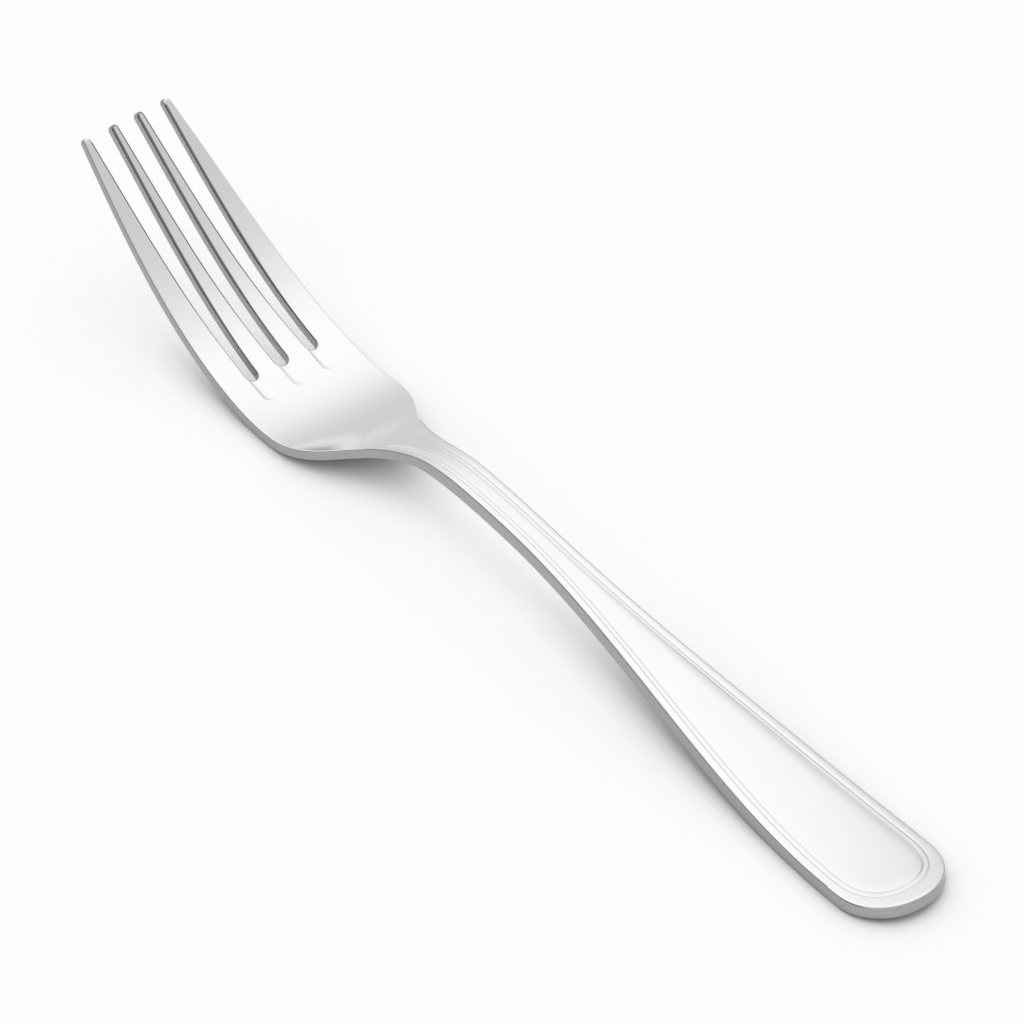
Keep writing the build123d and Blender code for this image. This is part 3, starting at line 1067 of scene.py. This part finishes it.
def floor(studio):
    """Plain pale floor that the fork rests on."""
    half = studio.floor_span / 2
    square = [(-half, -half, 0.0), (half, -half, 0.0), (half, half, 0.0), (-half, half, 0.0)]
    data = bpy.data.meshes.new("floor")
    data.from_pydata(square, [], [(0, 1, 2, 3)])
    data.materials.append(pale_floor(studio))
    surface = bpy.data.objects.new("floor", data)
    bpy.context.scene.collection.objects.link(surface)
    surface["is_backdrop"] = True


def pale_floor(studio):
    """Pale surface, painted darker further out as a falloff of light, and painted darker as a contact
    shadow where something closes it in.
    """
    material, tree, shader = new_material("pale_floor", studio.floor_colour, 0.0, 1.0)
    shader.inputs["Specular IOR Level"].default_value = 0.0
    where = tree.nodes.new("ShaderNodeTexCoord").outputs["Object"]
    away = tree.nodes.new("ShaderNodeVectorMath")
    away.operation = "LENGTH"
    tree.links.new(where, away.inputs[0])
    # Painted falloff of light: the floor's colour darkens further out.
    share = smooth_share(tree, away.outputs["Value"], studio.painted_falloff_start, studio.painted_falloff_end)
    tint = mixed_colour(tree, share, studio.floor_colour, studio.painted_falloff_colour)
    # Painted light lifts the painted contact shadow under and past the slots.
    share = mixed(tree, painted_light_past_head(tree, where, studio), contact_shadow_share(tree, studio), 1.0)
    # Painted contact shadow in the floor's colour, which the floor's glow carries too.
    tint = mixed_colour(tree, share, studio.contact_shade, tint)
    tree.links.new(tint, shader.inputs["Base Color"])
    tree.links.new(tint, shader.inputs["Emission Color"])
    shader.inputs["Emission Strength"].default_value = studio.floor_glow
    return material


def contact_shadow_share(tree, studio):
    """Share of the floor's colour kept under the painted contact shadow, which darkens the floor where
    something stands close over it.
    """
    contact = tree.nodes.new("ShaderNodeAmbientOcclusion")
    contact.samples = CONTACT_RAYS
    contact.inputs["Distance"].default_value = studio.contact_reach
    return ranged(tree, contact.outputs["AO"], 0.0, studio.contact_open)


def painted_light_past_head(tree, where, studio):
    """Share by which painted light lifts the painted contact shadow from the floor under the slots and
    past them, away from the fork's near side.
    """
    axes = tree.nodes.new("ShaderNodeSeparateXYZ")
    tree.links.new(where, axes.inputs[0])
    painted_light_full = studio.painted_light_from + studio.painted_light_fade
    ahead = smooth_share(tree, axes.outputs["X"], studio.painted_light_from, painted_light_full)
    painted_light_gone = studio.painted_light_side + studio.painted_light_side_fade
    beside = smooth_share(tree, axes.outputs["Y"], studio.painted_light_side, painted_light_gone)
    return mixed(tree, beside, ahead, 0.0)


def smooth_share(tree, value, start, end):
    """Share that eases from 0 to 1 as a value goes from start to end."""
    return ranged(tree, value, start, end, kind="SMOOTHSTEP")


def direction_share(tree, where, side, start, full):
    """Smooth share of how far a sky direction leans towards a side."""
    lean = tree.nodes.new("ShaderNodeVectorMath")
    lean.operation = "DOT_PRODUCT"
    lean.inputs[1].default_value = Vector(side).normalized()
    tree.links.new(where, lean.inputs[0])
    return smooth_share(tree, lean.outputs["Value"], start, full)


def mixed(tree, share, first, last):
    """Number between two others, each a constant or a socket."""
    node = tree.nodes.new("ShaderNodeMix")
    node.data_type = "FLOAT"
    tree.links.new(share, node.inputs["Factor"])
    for socket, value in ((node.inputs["A"], first), (node.inputs["B"], last)):
        if isinstance(value, float):
            socket.default_value = value
        else:
            tree.links.new(value, socket)
    return node.outputs["Result"]


def light_tent(studio):
    """White tent round the fork: brightest overhead, open behind the camera, with two cards."""
    world = bpy.data.worlds.new("light_tent")
    world.use_nodes = True
    tree = world.node_tree
    where = tree.nodes.new("ShaderNodeTexCoord").outputs["Generated"]
    strength = studio.horizon_light
    for side, part, light in (
        (studio.zenith_side, studio.zenith_spread, studio.zenith_light),
        (studio.dim_side, studio.dim_spread, studio.dim_light),
        (studio.open_side, studio.open_spread, studio.open_light),
        (studio.dark_side, studio.dark_spread, studio.dark_light),
        (studio.grey_side, studio.grey_spread, studio.grey_light),
    ):
        share = direction_share(tree, where, side, *part)
        strength = mixed(tree, share, strength, light)
    light_path = tree.nodes.new("ShaderNodeLightPath")
    seen = tree.nodes.new("ShaderNodeMath")
    seen.operation = "MAXIMUM"
    tree.links.new(light_path.outputs["Is Camera Ray"], seen.inputs[0])
    tree.links.new(light_path.outputs["Is Glossy Ray"], seen.inputs[1])
    strength = mixed(tree, seen.outputs["Value"], studio.floor_light, strength)
    tree.links.new(strength, tree.nodes["Background"].inputs["Strength"])
    tree.nodes["Background"].inputs["Color"].default_value = (1.0, 1.0, 1.0, 1.0)
    bpy.context.scene.world = world


def soft_lamp(studio):
    """Broad soft lamp over the fork, far enough away to light the floor evenly."""
    data = bpy.data.lights.new("soft_lamp", "SUN")
    data.energy = studio.lamp_strength
    data.angle = studio.lamp_softness
    lamp = bpy.data.objects.new("soft_lamp", data)
    lamp.rotation_euler = (-Vector(studio.lamp_side)).to_track_quat("-Z", "Y").to_euler()
    lamp.visible_glossy = False
    bpy.context.scene.collection.objects.link(lamp)


def view_axes(studio):
    """Right, up and forward directions of the photograph's view."""
    turn, drop = studio.view_heading, studio.view_drop
    level = Vector((math.cos(turn), -math.sin(turn), 0.0))
    right = Vector((-math.sin(turn), -math.cos(turn), 0.0))
    forward = level * math.cos(drop) - Vector((0.0, 0.0, math.sin(drop)))
    return right, right.cross(forward), forward


def camera(studio):
    """Camera at the photograph's viewing angle."""
    right, up, forward = view_axes(studio)
    target = Vector((studio.view_ahead, studio.view_aside, 0.0))
    data = bpy.data.cameras.new("camera")
    data.sensor_width = studio.sensor_width
    data.lens = studio.focal_length
    view = bpy.data.objects.new("camera", data)
    facing = Matrix((right, up, -forward)).transposed().to_4x4()
    view.matrix_world = Matrix.Translation(target - forward * studio.view_distance) @ facing
    bpy.context.scene.collection.objects.link(view)
    bpy.context.scene.camera = view


class FORK_OT_studio(Operator):
    """Makes the floor, the light tent, the lamp and the camera"""
    bl_idname = "fork.studio"
    bl_label = "Make the studio"

    def execute(self, context):
        studio = context.scene.fork_studio
        floor(studio)
        light_tent(studio)
        soft_lamp(studio)
        camera(studio)
        context.scene.view_settings.view_transform = "Standard"
        return {"FINISHED"}


# ---- panel and registration ----

class FORK_PT_panel(Panel):
    """Sizes, finishes and studio of the fork"""
    bl_label = "Dinner Fork"
    bl_space_type = "VIEW_3D"
    bl_region_type = "UI"
    bl_category = "Dinner Fork"

    def draw(self, context):
        for operator in (FORK_OT_body, FORK_OT_studio):
            self.layout.operator(operator.bl_idname)
        for name, group in GROUPS.items():
            box = self.layout.box()
            box.label(text=name.replace("_", " ").capitalize())
            for field in group.__annotations__:
                box.prop(getattr(context.scene, name), field)


GROUPS = {
    "fork_plan": ForkPlan,
    "fork_side_view": ForkSideView,
    "fork_detail": ForkDetail,
    "fork_finish": ForkFinish,
    "fork_studio": ForkStudio,
}
CLASSES = [*GROUPS.values(), FORK_OT_body, FORK_OT_studio, FORK_PT_panel]


def register():
    for item in CLASSES:
        bpy.utils.register_class(item)
    for name, group in GROUPS.items():
        setattr(bpy.types.Scene, name, PointerProperty(type=group))


def unregister():
    for name in GROUPS:
        delattr(bpy.types.Scene, name)
    for item in reversed(CLASSES):
        bpy.utils.unregister_class(item)


def corners():
    """Lowest and highest corners of the whole object, as plain lists."""
    return [list(corner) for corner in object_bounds()]


def main():
    register()
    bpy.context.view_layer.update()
    bpy.ops.fork.studio()
    bpy.ops.fork.body()


if __name__ == "__main__":
    main()
